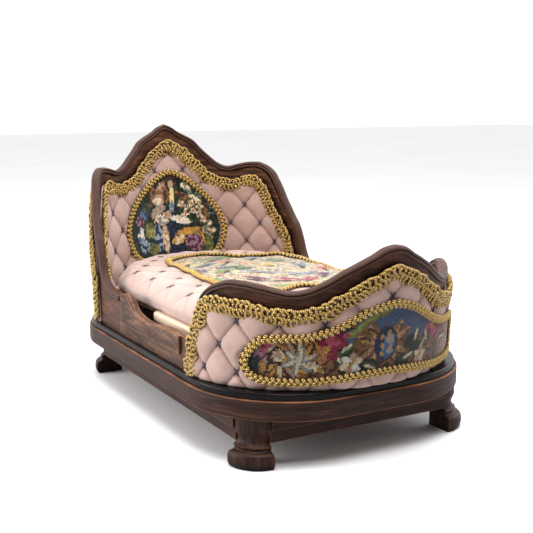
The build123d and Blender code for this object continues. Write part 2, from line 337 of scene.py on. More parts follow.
class Nodes:
    """A shader's node tree with short ways to add nodes."""

    def __init__(self, tree):
        self.tree = tree

    def node(self, kind, inputs=(), **settings):
        """A new node, with its inputs set to values or linked to sockets."""
        made = self.tree.nodes.new("ShaderNode" + kind)
        for setting, value in settings.items():
            setattr(made, setting, value)
        return self.fill(made, dict(inputs))

    def ramp(self, factor, *stops):
        """A colour ramp with (place, colour) stops."""
        made = self.node("ValToRGB", {"Fac": factor})
        elements = made.color_ramp.elements
        while len(elements) < len(stops):
            elements.new(0.5)
        for element, (place, tint) in zip(elements, stops):
            element.position = place
            element.color = tint if hasattr(tint, "__len__") else (tint, tint, tint, 1)
        return made.outputs["Color"]

    def fill(self, made, values):
        """Link or set a node's inputs, given by their names or places."""
        for place, value in values.items():
            if isinstance(value, bpy.types.NodeSocket):
                self.tree.links.new(value, made.inputs[place])
            else:
                made.inputs[place].default_value = value
        return made

    def mix(self, factor, first, second, blend="MIX"):
        """Two colours mixed by a factor."""
        made = self.node("Mix", data_type="RGBA", blend_type=blend)
        return self.fill(made, {0: factor, 6: first, 7: second}).outputs[2]

    def maths(self, operation, first, second=0.0):
        """One arithmetic step."""
        return self.fill(self.node("Math", operation=operation), {0: first, 1: second}).outputs[0]


class Finish(Nodes):
    """A Principled material with the textures that its finishes share."""

    def __init__(self, name, **values):
        self.material = bpy.data.materials.new(name)
        self.material.use_nodes = True
        super().__init__(self.material.node_tree)
        self.surface = self.tree.nodes["Principled BSDF"]
        self.coords = self.node("TexCoord").outputs["Object"]
        for socket, value in values.items():
            self.surface.inputs[socket.replace("_", " ")].default_value = value

    def stretched(self, scale, source=None):
        """Coordinates scaled along each axis, in repeats per metre."""
        return self.node("Mapping", {"Vector": source or self.coords, "Scale": scale}).outputs["Vector"]

    def noise(self, vector, scale=1.0, detail=3.0, roughness=0.55, distortion=0.0):
        """A noise value from 0 to 1."""
        inputs = {"Vector": vector, "Scale": scale, "Detail": detail, "Roughness": roughness,
                  "Distortion": distortion}
        return self.node("TexNoise", inputs).outputs["Fac"]

    def wave(self, vector, scale, distortion, direction):
        """A wave value from 0 to 1."""
        inputs = {"Vector": vector, "Scale": scale, "Distortion": distortion}
        return self.node("TexWave", inputs, bands_direction=direction).outputs["Fac"]

    def darkened(self, body, amount, factor, low, high):
        """A colour multiplied by a ramp between two (place, tint) stops."""
        return self.mix(amount, body, self.ramp(factor, low, high), "MULTIPLY")

    def bump(self, height, distance, under=None):
        """A bump of a height in millimetres, over another one if given."""
        inputs = {"Height": height, "Distance": distance * MM}
        if under is not None:
            inputs["Normal"] = under
        return self.node("Bump", inputs).outputs["Normal"]

    def link(self, **sockets):
        """Link sockets to the surface's inputs."""
        for socket, value in sockets.items():
            self.tree.links.new(value, self.surface.inputs[socket.replace("_", " ")])
        return self.material

    def worn_edges(self, radius, low, high):
        """1 on sharp edges, broken up by noise, and 0 elsewhere."""
        rounded = self.node("Bevel", {"Radius": radius * MM}, samples=4).outputs["Normal"]
        true = self.node("NewGeometry").outputs["Normal"]
        same = self.node("VectorMath", {0: rounded, 1: true}, operation="DOT_PRODUCT")
        edge = self.ramp(same.outputs["Value"], (low, 1.0), (high, 0.0))
        patches = self.ramp(self.noise(self.coords, 90, 4), (0.38, 0.15), (0.62, 1.0))
        return self.mix(1.0, edge, patches, "MULTIPLY")

    def stripe(self, height, width):
        """1 within a width of a height in millimetres, broken up by noise."""
        z = self.node("SeparateXYZ", {"Vector": self.coords}).outputs["Z"]
        away = self.maths("ABSOLUTE", self.maths("SUBTRACT", z, height * MM))
        ragged = self.maths("MULTIPLY", self.noise(self.stretched((60, 60, 400)), 1, 4), width * MM)
        near = self.maths("GREATER_THAN", ragged, self.maths("MULTIPLY", away, 0.75))
        return self.mix(1.0, near, self.ramp(self.noise(self.coords, 40, 4), (0.35, 0.2), (0.6, 0.9)),
                        "MULTIPLY")


def wood_finish(name, grain, dark, mid, light, worn, gloss=0.38, shine=0.16, relief=1.0,
                arrises=(), source=None):
    """Stained wood with streaks along its grain, open pores and worn arrises, with painted shade in its
    corners and in the rim bead's groove.
    """
    finish = Finish(name)
    finish.surface.inputs["Specular IOR Level"].default_value = shine
    if source == "UV":
        finish.coords = finish.node("TexCoord").outputs["UV"]
    streaks = finish.noise(finish.stretched([11 * g for g in grain]), 1, 6, 0.62, 0.4)
    figure = finish.noise(finish.stretched([2.6 * g for g in grain]), 1, 3, 0.5, 1.2)
    pores = finish.noise(finish.stretched([42 * g for g in grain]), 1, 2, 0.6)
    body = finish.ramp(streaks, (0.30, dark), (0.52, mid), (0.74, light))
    body = finish.darkened(body, 1.0, figure, (0.30, 0.62), (0.66, 1.0))
    body = finish.darkened(body, 0.75, pores, (0.36, 0.35), (0.46, 1.0))
    edge = finish.worn_edges(1.3, 0.90, 0.985)
    body = finish.mix(edge, body, worn)
    for height in arrises:
        body = finish.mix(finish.stripe(height, 0.55), body, worn)
    # Painted shade: the wood is darkened where the AO node finds corners and recesses.
    corners = finish.node("AmbientOcclusion", {"Distance": 7 * MM}, samples=6).outputs["AO"]
    body = finish.darkened(body, 1.0, corners, (0.35, 0.06), (0.9, 1.0))
    # Painted shade: near-black where the painted shade mask marks the groove under the rim bead.
    groove = finish.node("Attribute", attribute_name="painted_shade").outputs["Fac"]
    body = finish.mix(groove, body, colour(12, 7, 6))
    sheen = finish.ramp(streaks, (0.3, gloss), (0.7, gloss + 0.16))
    normal = finish.bump(pores, 0.12 * relief)
    normal = finish.bump(streaks, 0.18 * relief, under=normal)
    return finish.link(Base_Color=body, Roughness=sheen, Normal=normal)


def cloth_finish(name, light, dark, weave=2600):
    """Woven cotton with a fine plain weave, slubs and a faint uneven tone."""
    finish = Finish(name, Roughness=0.86, Sheen_Weight=0.35, Sheen_Roughness=0.45)
    finish.surface.inputs["Specular IOR Level"].default_value = 0.25
    warp = finish.wave(finish.stretched((weave, weave * 0.2, weave * 0.9)), 0.35, 0.6, "X")
    weft = finish.wave(finish.stretched((weave * 0.1, weave, weave)), 0.35, 0.6, "Z")
    threads = finish.maths("MULTIPLY", warp, weft)
    tone = finish.noise(finish.coords, 42, 5, 0.6)
    slubs = finish.noise(finish.stretched((700, 900, 2600)), 1, 2)
    body = finish.ramp(tone, (0.3, dark), (0.7, light))
    body = finish.darkened(body, 0.10, slubs, (0.3, 0.55), (0.7, 1.0))
    body = finish.darkened(body, 0.12, threads, (0.0, 0.6), (0.6, 1.0))
    felt = finish.noise(finish.coords, 420, 5, 0.7)
    body = finish.darkened(body, 0.3, felt, (0.3, 0.7), (0.65, 1.0))
    # Painted shade: the cloth darkens where the painted shade mask marks the valleys of its seams and
    # channels.
    painted_shade = finish.node("Attribute", attribute_name="painted_shade").outputs["Fac"]
    body = finish.mix(painted_shade, body, finish.mix(1.0, body, colour(200, 178, 174), "MULTIPLY"))
    normal = finish.bump(threads, 0.07)
    normal = finish.bump(felt, 0.2, under=normal)
    return finish.link(Base_Color=body, Normal=normal)


def strand_finish(name, light, mid, dark, metal=0.3):
    """Twisted metallic thread, its twist painted from a shade colour to a highlight colour, with painted
    shade in its hollows. The twist follows the strand's UV map.
    """
    finish = Finish(name, Metallic=metal, Sheen_Weight=0.2)
    finish.surface.inputs["Anisotropic"].default_value = 0.3
    uv = finish.node("TexCoord").outputs["UV"]
    twist = finish.wave(finish.stretched((1.0, 2.0, 1), source=uv), 0.5, 0.3, "DIAGONAL")
    hairs = finish.noise(finish.stretched((9, 60, 1), source=uv), 1, 3)
    tone = finish.noise(finish.coords, 320, 3)
    # Painted highlight and painted shade: the light stop is a highlight colour and the dark stop a shade
    # colour along the twist.
    body = finish.ramp(twist, (0.08, dark), (0.42, mid), (0.85, light))
    body = finish.darkened(body, 0.3, tone, (0.3, 0.45), (0.66, 1.0))
    # Painted shade in the hollows between strands, from the AO node.
    painted_hollow_shade = finish.node("AmbientOcclusion", {"Distance": 3.5 * MM}, samples=6).outputs["AO"]
    body = finish.darkened(body, 1.0, painted_hollow_shade, (0.3, colour(90, 60, 36)), (0.85, 1.0))
    shine = finish.ramp(hairs, (0.3, 0.26), (0.7, 0.46))
    normal = finish.bump(twist, 0.3)
    normal = finish.bump(hairs, 0.08, under=normal)
    return finish.link(Base_Color=body, Roughness=shine, Normal=normal)


def wool_finish(name):
    """Needlework in wool, each stitch having its own colour on the mesh."""
    finish = Finish(name, Roughness=0.92, Sheen_Weight=0.35, Sheen_Roughness=0.5)
    finish.surface.inputs["Specular IOR Level"].default_value = 0.15
    stitched = finish.node("Attribute", attribute_name="thread").outputs["Color"]
    fibres = finish.noise(finish.coords, 1500, 3)
    body = finish.darkened(stitched, 0.35, fibres, (0.28, 0.45), (0.7, 1.0))
    return finish.link(Base_Color=body, Normal=finish.bump(fibres, 0.15))


def thread_finish(name, light, dark):
    """Dark embroidery floss."""
    finish = Finish(name, Roughness=0.7, Sheen_Weight=0.3)
    fibres = finish.noise(finish.coords, 1200, 3)
    body = finish.ramp(fibres, (0.3, dark), (0.7, light))
    return finish.link(Base_Color=body, Normal=finish.bump(fibres, 0.1))


walnut = dict(dark=colour(30, 18, 15), mid=colour(62, 39, 31), light=colour(90, 59, 45),
              worn=colour(156, 100, 66))
wood_along = {
    "x": wood_finish("walnut_along_x", (2, 26, 26), **walnut),
    "y": wood_finish("walnut_along_y", (26, 2, 26), **walnut),
    "z": wood_finish("walnut_along_z", (26, 26, 2), **walnut),
    "bend": wood_finish("walnut_round_bend", (3, 3, 30), colour(44, 26, 20), colour(96, 60, 44),
                        colour(140, 92, 66), colour(160, 104, 68)),
    "plinth": wood_finish("plinth_walnut", (3, 2, 34), arrises=(39.7, 55.2), **walnut),
}
deck_wood = wood_finish("deck_walnut", (3, 2, 30), colour(6, 4, 4), colour(12, 8, 8),
                        colour(22, 15, 14), colour(64, 46, 38), gloss=0.2, relief=0.2)
bead_wood = wood_finish("rim_walnut", (0.0022, 2.2, 1), colour(40, 23, 18), colour(84, 52, 39),
                        colour(124, 80, 57), colour(150, 98, 64), gloss=0.3, shine=0.24, source="UV")
rail_wood = wood_finish("rail_oak", (26, 3, 20), colour(52, 36, 29), colour(104, 77, 63),
                        colour(146, 113, 92), colour(206, 136, 84), gloss=0.5)
pink_cloth = cloth_finish("pink_cotton", colour(212, 180, 168), colour(190, 156, 145))
# A lighter copy of the pink cotton: painted light for the overhead light falling on the mattress.
lit_mattress_cloth = cloth_finish("mattress_cotton_painted_light", colour(214, 185, 174), colour(198, 167, 157))
tan_cloth = cloth_finish("tan_linen", colour(246, 212, 182), colour(236, 198, 166), weave=2000)
# The gold's light stop is a painted highlight and its dark stop a painted shade.
gold = strand_finish("gold_strand", colour(250, 212, 116), colour(202, 154, 64), colour(96, 62, 14))
# A backing ground, coloured dark as painted shade showing between the strands.
shade_dark_gold_ground = strand_finish("gold_ground_painted_shade", colour(92, 66, 22), colour(66, 46, 14), colour(36, 24, 8), 0.1)
wool = wool_finish("wool_stitches")
floss = thread_finish("blue_grey_floss", colour(50, 56, 80), colour(22, 26, 42))
steel = Finish("screw_steel", Metallic=1.0)
steel.link(Roughness=steel.ramp(steel.noise(steel.coords, 900, 3), (0.3, 0.3), (0.7, 0.5)),
           Base_Color=steel.ramp(steel.noise(steel.coords, 300, 2), (0.3, colour(120, 118, 112)),
                                 (0.7, colour(176, 174, 168))))


node_materials = [
    (wood_along["plinth"], ["base_board"]),
    (wood_along["y"], ["apron_left", "apron_right", "mattress_ledge_left", "mattress_ledge_right"]),
    (wood_along["x"], ["apron_foot_end", "apron_head_end"]),
    (wood_along["z"], [f"{end}_end_foot_{side}" for end in ("foot", "head") for side in ("left", "right")]),
    (wood_along["bend"], ["headboard_shell", "footboard_shell"]),
    (deck_wood, ["deck_board"]),
    (rail_wood, [f"{part}_{side}" for part in ("side_rail", "rail_facing") for side in ("left", "right")]),
    (steel.material, ["foot_screws"]),
]
for material, names in node_materials:
    for name in names:
        nodes[name].data.materials.clear()
        nodes[name].data.materials.append(material)


def placed(piece, slot_name, *replaced, body="bedstead"):
    """Put a piece on its body, standing for its CAD nodes; the slot name is not used."""
    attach(piece, body)
    if replaced:
        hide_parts(*replaced)


# ---- paths along the rims ----
def rim_path(end, middle, side, offset, start_y=None):
    """A line of (u, z) round a wall, inset from its rim, from start_y or the wall's end face on."""
    start_y = end.end_face if start_y is None else start_y
    u = np.arange(-end.run[-1] - 60, end.run[-1] + 60, 0.25)
    z = end.rim(u, middle, side)
    place = end.point(u, z, offset)
    keep = (z > deck_top + 1.2) & (abs(place[:, 1]) > start_y)
    return u[keep], z[keep]


def softened(points, reach):
    """An open line with its corners rounded over a reach of points each way."""
    weights = np.hanning(2 * reach + 3)[1:-1]
    weights = weights / weights.sum()
    run_in = 2 * points[0] - points[reach:0:-1]
    run_out = 2 * points[-1] - points[-2:-reach - 2:-1]
    longer = np.vstack([run_in, points, run_out])
    return np.column_stack([np.convolve(column, weights, "valid") for column in longer.T])


def on_wall(end, u, z, offset, step, inward=False, soften=0):
    """Evenly spaced points and normals along a line of (u, z) on a wall."""
    points = resample(end.point(u, z, offset), step)
    if soften:
        points = resample(softened(points, soften), step)
    z = points[:, 2]
    around = end.u_at(abs(points[:, 1]), z) * np.sign(points[:, 0])
    around = np.where(abs(points[:, 0]) < 70, end.u_of(points[:, 0], offset), around)
    normals = end.normal(around, z)
    return points, -normals if inward else normals


def rim_bead(name, end, replaced):
    """The rounded bead that caps a wall's edge, with a groove under it on both faces."""
    u, z = rim_path(end, 0, 0, -wall / 2)
    points, normals = on_wall(end, u, z, -wall / 2, bead_step)
    down = unit(np.cross(directions(points), normals))
    down = down * np.where(down[:, 2:3] > 0, -1, 1)
    half = (wall + 2 * cap_lip) / 2
    groove = half - 1.1
    flank = [(half - 1.9, cap_height + 0.2), (half - 0.9, cap_height + 0.1),
             (half - 0.1, cap_height - 0.6), (half + 0.1, cap_height - 1.5), (half, cap_height - 2.3),
             (groove, cap_height - 2.8), (groove, cap_height - 3.1),
             (half, cap_height - 3.5), (half, 1.9), (half - 0.6, 0.9), (half - 1.7, 0.3), (1.3, 0.0)]
    profile = [(-across, down) for across, down in flank] + [(0, -0.15)] + flank[::-1]
    ring = np.array(profile)
    lines = points[:, None] + normals[:, None] * ring[:, :1] + down[:, None] * ring[:, 1:]
    rows, columns = lines.shape[:2]
    faces = grid_faces(rows, columns, wrap=True)
    ends = [list(range(columns))[::-1], list(range((rows - 1) * columns, rows * columns))]
    made = make_object(name, lines.reshape(-1, 3), faces, bead_wood, ends=ends)
    # Painted shade on the groove's vertices, which the wood material turns near-black.
    mark_painted_shade(made, np.tile(abs(ring[:, 0]) == groove, rows))
    loops = np.concatenate([faces.ravel(), *ends])
    layer = made.data.uv_layers.new(name="bead")
    places = np.column_stack([loops // columns * bead_step, loops % columns * 1.2])
    layer.data.foreach_set("uv", places.ravel())
    placed(made, "dark_wood", replaced)


rim_bead("headboard_rim_bead", head, "headboard_cap")
rim_bead("footboard_rim_bead", foot, "footboard_cap")


# ---- quilted pads ----
def quilting(u, z, width, height, centre_z):
    """How far the padding stands up between diagonal seams: 0 on a seam and 1 in a diamond's middle."""
    rise = (z - centre_z) / height
    first = abs(np.sin(math.pi * (u / width + rise + 0.5)))
    second = abs(np.sin(math.pi * (u / width - rise + 0.5)))
    return (first * second) ** 0.4


def crossings(width, height, centre):
    """Where the quilting's seams cross."""
    return [((column + (0 if row % 2 else 0.5)) * width, centre + row * height / 2)
            for row in range(-12, 13) for column in range(-12, 12)]


def cross_stitch(tubes, centre, arms, normal, radius):
    """A cross of two threads lying on the cloth, each arm being half a thread."""
    for over, arm in zip((0.25, 0.6), arms):
        steps = np.linspace(-1, 1, 7)[:, None]
        arc = (1 - steps**2) * over + 0.05
        tubes.add(centre + arm * steps + normal * arc, np.tile(normal, (7, 1)), radius, sides=6)


def quilted_pad(name, end, base, outward, thickness, insets, edge_y, quilt, replaced, covered=None):
    """A quilted pad on one face of a wall, with its stitches, flattened where needlework covers it."""
    width, height, centre_z = quilt
    reach = end.run[-1] + 55
    u = np.arange(-reach, reach, 1.3)
    top = end.rim(u, *insets)
    mid = end.point(u, (top + deck_top) / 2)
    keep = (top > deck_top + 4) & (abs(mid[:, 1]) > edge_y)
    u, top = u[keep], top[keep]
    rows = int((top.max() - deck_top) / 1.4)
    share = np.linspace(0, 1, rows)[:, None]
    z = deck_top + 0.4 + (top - deck_top - 0.4)[None] * share
    around = np.broadcast_to(u, z.shape)
    puff = quilting(around, z, width, height, centre_z)
    rise = np.minimum((top[None] - z) / edge_roll, 1) * np.minimum((z - deck_top + 1.5) / 5, 1)
    ends = np.minimum(np.minimum(around - u[0], u[-1] - around) / edge_roll, 1)
    edge = np.clip(np.minimum(rise, ends), 0, 1) ** 0.5
    wrinkle = np.array([noise.fractal(Vector((a / 14, b / 14, 3 * end.direction)), 0.9, 2.0, 3)
                        for a, b in zip(around.ravel(), z.ravel())]).reshape(z.shape)
    depth = 0.9 + (thickness + 0.7) * puff * edge + 0.3 * wrinkle * edge
    if covered is not None:
        x = end.point(around, z)[..., 0]
        flat = inside(inset(covered, 3, closed=True), x, z)
        depth = np.where(flat, np.minimum(depth, thickness - 0.6), depth)
    front = end.point(around, z, base) + end.normal(around, z) * (outward * depth)[..., None]
    back = end.point(around, z, base) + end.normal(around, z) * outward * 0.05
    # Painted shade for the cloth, strongest along the quilting's seam valleys.
    painted_shade = np.clip(1 - puff * 1.9, 0, 1) * edge
    if outward * end.direction > 0:
        front, back, painted_shade = front[:, ::-1], back[:, ::-1], painted_shade[:, ::-1]
    pad = closed_pad(name, front, back, pink_cloth)
    mark_painted_shade(pad, np.concatenate([painted_shade.ravel(), np.zeros(painted_shade.size)]))
    placed(pad, "quilted_fabric", replaced)
    tubes = Tubes()
    for u_place, z_place in crossings(width, height, centre_z):
        column = np.argmin(abs(u - u_place))
        if abs(u_place) > abs(u).max() - 8 or not deck_top + 5 < z_place < top[column] - 7:
            continue
        if covered is not None and inside(covered, end.point(u_place, z_place)[0], z_place):
            continue
        normal = end.normal(u_place, z_place) * outward
        centre = end.point(u_place, z_place, base) + normal * 2.1
        along = unit(end.point(u_place + 1, z_place) - end.point(u_place - 1, z_place))
        upward = unit(np.cross(along, normal))
        turn = rng.uniform(-0.2, 0.2)
        along, upward = along + upward * turn, upward - along * turn
        wide, high = along * rng.uniform(2.3, 2.8), upward * rng.uniform(3.1, 3.7)
        cross_stitch(tubes, centre, (wide + high, wide - high), normal, 0.55)
    placed(tubes.make(f"{name}_stitches", floss), "quilted_fabric")


# Each quilting is (diamond's width, its height, height of a row of crossings).
head_quilt = (36.5, 40, 161.5)
foot_quilt = (34.7, 41, 114)
quilted_pad("headboard_inner_quilting", head, -wall, -1, inner_pad_thickness, (18, 17), 60,
            head_quilt, "headboard_inner_pad", medallion_rim)
quilted_pad("headboard_outer_quilting", head, 0, 1, pad_thickness, (18, 17), 115,
            head_quilt, "headboard_outer_pad")
quilted_pad("footboard_outer_quilting", foot, 0, 1, pad_thickness, (17, 8), 90,
            foot_quilt, "footboard_outer_pad", panel_rim)
quilted_pad("footboard_inner_quilting", foot, -wall, -1, inner_pad_thickness, (17, 8), 90,
            foot_quilt, "footboard_inner_pad")


# ---- gimp and braid ----
def wobble(length, size, amount):
    """A smooth random value along a line, about 1."""
    knots = [1 + rng.uniform(-amount, amount) for _ in range(int(length / size) + 3)]
    return lambda s: np.interp(s / size, np.arange(len(knots)), knots)


# Each row of loops is (middle, across, along, phase, rise, pitch's stretch).
gimp_rows = [(3.9, 2.3, 1.9, 0.0, 1.5, 1.0), (-3.9, 2.3, -1.9, 3.1, 1.5, 0.93),
             (1.5, 2.0, -1.7, 1.6, 1.6, 0.86), (-1.5, 2.0, 1.7, 4.7, 1.6, 0.79)]


def looped_strands(points, normals, step):
    """One strand for each gimp row, curling along an open path."""
    tubes = Tubes()
    across = unit(np.cross(normals, directions(points)))
    index = np.arange(len(points)) * step
    length = index[-1]
    s = np.arange(0, length, gimp_pitch / 16)
    for middle, width, along, phase, high, stretch in gimp_rows:
        size, shift, tilt = (wobble(length, gimp_pitch * 0.7, 0.6) for _ in range(3))
        turn = 2 * math.pi * s / (gimp_pitch * stretch) + phase + (shift(s) - 1) * 2.2
        place = np.clip(s + along * size(s) * np.sin(turn), 0, length - 1e-6)
        aside = middle + width * size(s) * np.cos(turn)
        rise = 1.5 + high * np.sin(turn + 0.7) + (tilt(s) - 1) * 1.2
        spine, sideways, up = at_places(place, index, points, across, normals)
        tubes.add(spine + sideways * aside[:, None] + up * rise[:, None], up, gimp_radius)
    return tubes


def ribbon(name, points, normals, half_width, lift, closed=False, body="bedstead"):
    """The flat ground under a gimp or a braid, coloured dark gold as painted shade between the strands."""
    across = unit(np.cross(normals, directions(points, closed)))
    tubes = Tubes()
    for place in (-0.5, 0, 0.5):
        tubes.add(points + across * place * half_width + normals * lift, normals,
                  half_width * 0.4, sides=6, closed=closed)
    placed(tubes.make(name, shade_dark_gold_ground), "gold_braid", body=body)


def gimp(name, end, offset, inward, line, replaced):
    """Looped gimp along a line of (u, z) on a wall."""
    points, normals = on_wall(end, *line, offset, path_step, inward, soften=9)
    step = np.linalg.norm(np.diff(points, axis=0), axis=1).mean()
    placed(looped_strands(points, normals, step).make(name, gold), "gold_braid", replaced)
    ribbon(f"{name}_ground", points, normals, 3.6, -0.9)


def with_legs(end, line, y):
    """A rim line continued straight down to the deck at y from the bed's middle."""
    u, z = line
    bottom = float(z[0])
    drop = np.arange(deck_top + 2, bottom, 0.5)
    leg = end.u_at(y, drop)
    return np.concatenate([-leg, u, leg[::-1]]), np.concatenate([drop, z, drop[::-1]])


gimp("headboard_inner_loop_gimp", head, -wall - 2.6, True, rim_path(head, 21, 20, -wall, 60),
     "headboard_inner_gimp")
gimp("headboard_outer_loop_gimp", head, 2.8, False,
     with_legs(head, rim_path(head, 21, 20, 0, 118.5), 118.5), "headboard_outer_gimp")
gimp("footboard_outer_loop_gimp", foot, 2.8, False, rim_path(foot, 20, 11, 0), "footboard_outer_gimp")
gimp("footboard_inner_loop_gimp", foot, -wall - 2.6, True, rim_path(foot, 20, 11, -wall),
     "footboard_inner_gimp")


def scalloped_braid(name, points, normals, replaced, body="bedstead"):
    """A plaited braid round a closed path."""
    step = np.linalg.norm(np.diff(points, axis=0), axis=1).mean()
    across = np.cross(normals, directions(points, closed=True))
    fields = [np.vstack([field, field[:1]]) for field in (points, across, normals)]
    length = step * len(points)
    count = round(length / braid_pitch)
    reach = np.linspace(0, 1, 8)
    index = np.arange(len(points) + 1) * step
    tubes = Tubes()
    for stitch in range(2 * count):
        side = 1 if stitch % 2 else -1
        start = stitch * length / (2 * count) + rng.uniform(-0.15, 0.15)
        place = (start + braid_slant * reach**1.3) % length
        aside = side * (-0.5 + (braid_width / 2 + rng.uniform(-0.3, 0.1)) * reach)
        rise = 0.7 + 1.15 * np.sin(math.pi * (0.12 + 0.84 * reach))
        spine, sideways, up = at_places(place, index, *fields)
        thickness = 0.55 + 1.2 * np.sin(math.pi * np.clip(reach * 0.92 + 0.04, 0, 1)) ** 0.6
        tubes.add(spine + sideways * aside[:, None] + up * rise[:, None], up, thickness, sides=8)
    placed(tubes.make(name, gold), "gold_braid", replaced, body=body)
    ribbon(f"{name}_ground", points, normals, 2.6, 0.1, True, body)


def outline_on_wall(end, outline, offset, inward):
    """A closed (x, z) outline laid on a wall."""
    around = end.u_of(outline[:, 0], offset)
    points = resample(end.point(around, outline[:, 1], offset), path_step, closed=True)
    normals = end.normal(end.u_of(points[:, 0], offset), points[:, 2])
    return points, -normals if inward else normals


medallion_line = inset(medallion_rim, braid_width / 2, closed=True)
panel_line = inset(panel_rim, braid_width / 2, closed=True)
scalloped_braid("medallion_scallop_braid",
                *outline_on_wall(head, medallion_line, -wall - inner_pad_thickness, True),
                "headboard_medallion_braid")
scalloped_braid("panel_scallop_braid", *outline_on_wall(foot, panel_line, pad_thickness, False),
                "footboard_panel_braid")


# ---- needlework ----
thread = {
    "black": (24, 30, 28), "forest": (40, 54, 42), "moss": (78, 88, 52), "olive": (128, 124, 58),
    "sage": (118, 130, 112), "leaf": (150, 158, 92), "bark": (72, 46, 38), "rust": (138, 96, 58),
    "tan": (190, 152, 126), "cream": (226, 208, 174), "white": (238, 230, 216), "ochre": (206, 152, 66),
    "gold": (182, 138, 62), "navy": (34, 46, 84), "blue": (84, 108, 146), "slate": (78, 94, 124),
    "sky": (150, 164, 172), "plum": (88, 46, 66), "mauve": (156, 118, 130), "crimson": (140, 34, 64),
    "rose": (190, 84, 106), "pink": (222, 122, 140), "orange": (226, 128, 84), "green": (112, 150, 70),
    "lemon": (232, 214, 140), "grey": (136, 140, 138),
}


class Picture:
    """A needlework picture: dabs of thread colour painted in order on a ground."""

    def __init__(self, ground, grain, seed, depth=1.0):
        self.ground = ground
        self.depth = depth
        self.grain = grain
        self.seed = seed
        self.dabs = []

    def dab(self, x, y, wide, high, name, other=None, turn=0, ragged=0.35):
        """An ellipse of one thread colour, or of two mixed in patches."""
        self.dabs.append((x, y, wide, high, name, other or name, math.radians(turn), ragged))

    def dab_rows(self, *rows):
        """Several dabs, one to a row of dab's arguments."""
        for row in rows:
            self.dab(*row)

    def flower(self, x, y, size, petals, heart, count=5, turn=0):
        """A round flower of separate petals with darker gaps."""
        reach = size * 0.55
        for petal in range(count):
            angle = turn + 360 * petal / count
            way = math.radians(angle)
            self.dab(x + reach * math.cos(way), y + reach * math.sin(way), reach, size * 0.36,
                     petals[petal % len(petals)], None, angle, 0.15)
        self.dab(x, y, size * 0.26, size * 0.26, heart, None, 0, 0.1)

    def leaf(self, x, y, length, turn, light, dark):
        """A pointed leaf, light on one side of its vein."""
        side = math.radians(turn + 90)
        self.dab(x, y, length / 2, length * 0.22, dark, None, turn, 0.12)
        self.dab(x + 0.7 * math.cos(side), y + 0.7 * math.sin(side), length * 0.42, length * 0.1, light,
                 None, turn, 0.1)

    def paint(self, a, b):
        """The colour of each stitch at (a, b), as linear rows."""
        where = [Vector((x / self.grain, y / self.grain, self.seed)) for x, y in zip(a, b)]
        patch = np.array([noise.noise(v) for v in where])
        fine = np.array([noise.noise(v * 2.7 + Vector((9, 4, 0))) for v in where])
        tints = {name: np.array(colour(*value)[:3]) for name, value in thread.items()}
        first, second = self.ground
        shade = np.where((patch + 0.5 * fine > 0)[:, None], tints[first], tints[second])
        for x, y, wide, high, name, other, turn, ragged in self.dabs:
            along = (a - x) * math.cos(turn) + (b - y) * math.sin(turn)
            aside = (b - y) * math.cos(turn) - (a - x) * math.sin(turn)
            reach = np.hypot(along / wide, aside / high) + ragged * fine
            tint = np.where((patch > 0.02)[:, None], tints[name], tints[other])
            shade = np.where((reach < 1)[:, None], tint, shade)
        dye = np.array([rng.uniform(0.72, 1.2) for _ in a])
        return np.clip(shade * (self.depth * dye * (1 + 0.35 * fine))[:, None], 0, 1)


def garden_picture():
    """A shaded garden with blossom and two draped figures, for the headboard."""
    art = Picture(("forest", "black"), 4.5, 1, 1.1)
    art.dab_rows((6, 190, 20, 8, "bark", "black"), (14, 182, 7, 9, "forest", "black"),
                 (27, 172, 13, 8, "sage", "forest"), (20, 183, 7, 4, "cream", "sage", -40),
                 (31, 168, 9, 4, "sage", "cream", -30), (16, 172, 12, 3.5, "bark", "rust", -30))
    for x, y in ((13, 164), (20, 160), (28, 156), (35, 152), (26, 164), (40, 146), (18, 152), (36, 160)):
        art.dab(x, y, 6, 5, "moss", "forest", 20 * x)
        art.flower(x, y, 4.6, ("cream", "tan"), "moss", 4, 30 * x)
    art.dab(44, 155, 2.5, 12, "rust", "bark", 8)
    art.dab(50, 158, 5, 8, "sage", "forest")
    for x, y in ((46, 140), (42, 134), (50, 132), (45, 126)):
        art.dab(x, y, 5, 4, "tan", "moss", 40 * x)
        art.dab(x + 2, y + 2, 2, 3, "cream", "sage")
    art.dab_rows((-26, 172, 3.6, 13, "rust", "bark", -12), (-33, 160, 6, 8, "moss", "forest"),
                 (-39, 154, 5, 6, "navy", "blue", 30), (-45, 147, 6, 6, "mauve", "plum"),
                 (-13, 178, 6, 12, "tan", "rust", -24), (-16, 168, 8, 5, "tan", "cream"),
                 (-6, 174, 4.5, 9, "bark", "rust", 12), (2, 172, 3, 15, "cream", "lemon"),
                 (1, 186, 3.6, 4.4, "tan", "tan", 0, 0.1), (-18, 157, 11, 5.5, "tan", "grey", 32),
                 (-16, 150, 10, 4, "bark", "cream", 30), (1, 161, 3, 6, "sky", "blue"),
                 (-4, 153, 3.6, 4.2, "tan", "tan", 0, 0.1), (12, 146, 13, 4, "cream", "white", -14),
                 (-12, 146, 8, 5, "cream", "grey"), (-30, 140, 9, 5, "olive", "moss"),
                 (-28, 133, 9, 5, "leaf", "olive"), (-18, 128, 7, 15, "navy", "sky", 4),
                 (-9, 126, 4.5, 17, "cream", "tan", 6), (2, 136, 6, 9, "navy", "black", 30),
                 (21, 133, 15, 4.5, "ochre", "gold", 6), (36, 126, 3.6, 9, "ochre", "rust", 24),
                 (8, 124, 9, 5, "ochre", "cream", 18), (28, 120, 13, 9, "plum", "mauve", -14),
                 (6, 113, 10, 5, "navy", "black"), (45, 118, 6, 8, "olive", "moss"),
                 (-44, 132, 5, 9, "white", "blue"), (-39, 120, 7, 8, "navy", "sky", 20),
                 (-26, 116, 7, 7, "moss", "olive"), (0, 102, 40, 7, "moss", "olive"))
    return art


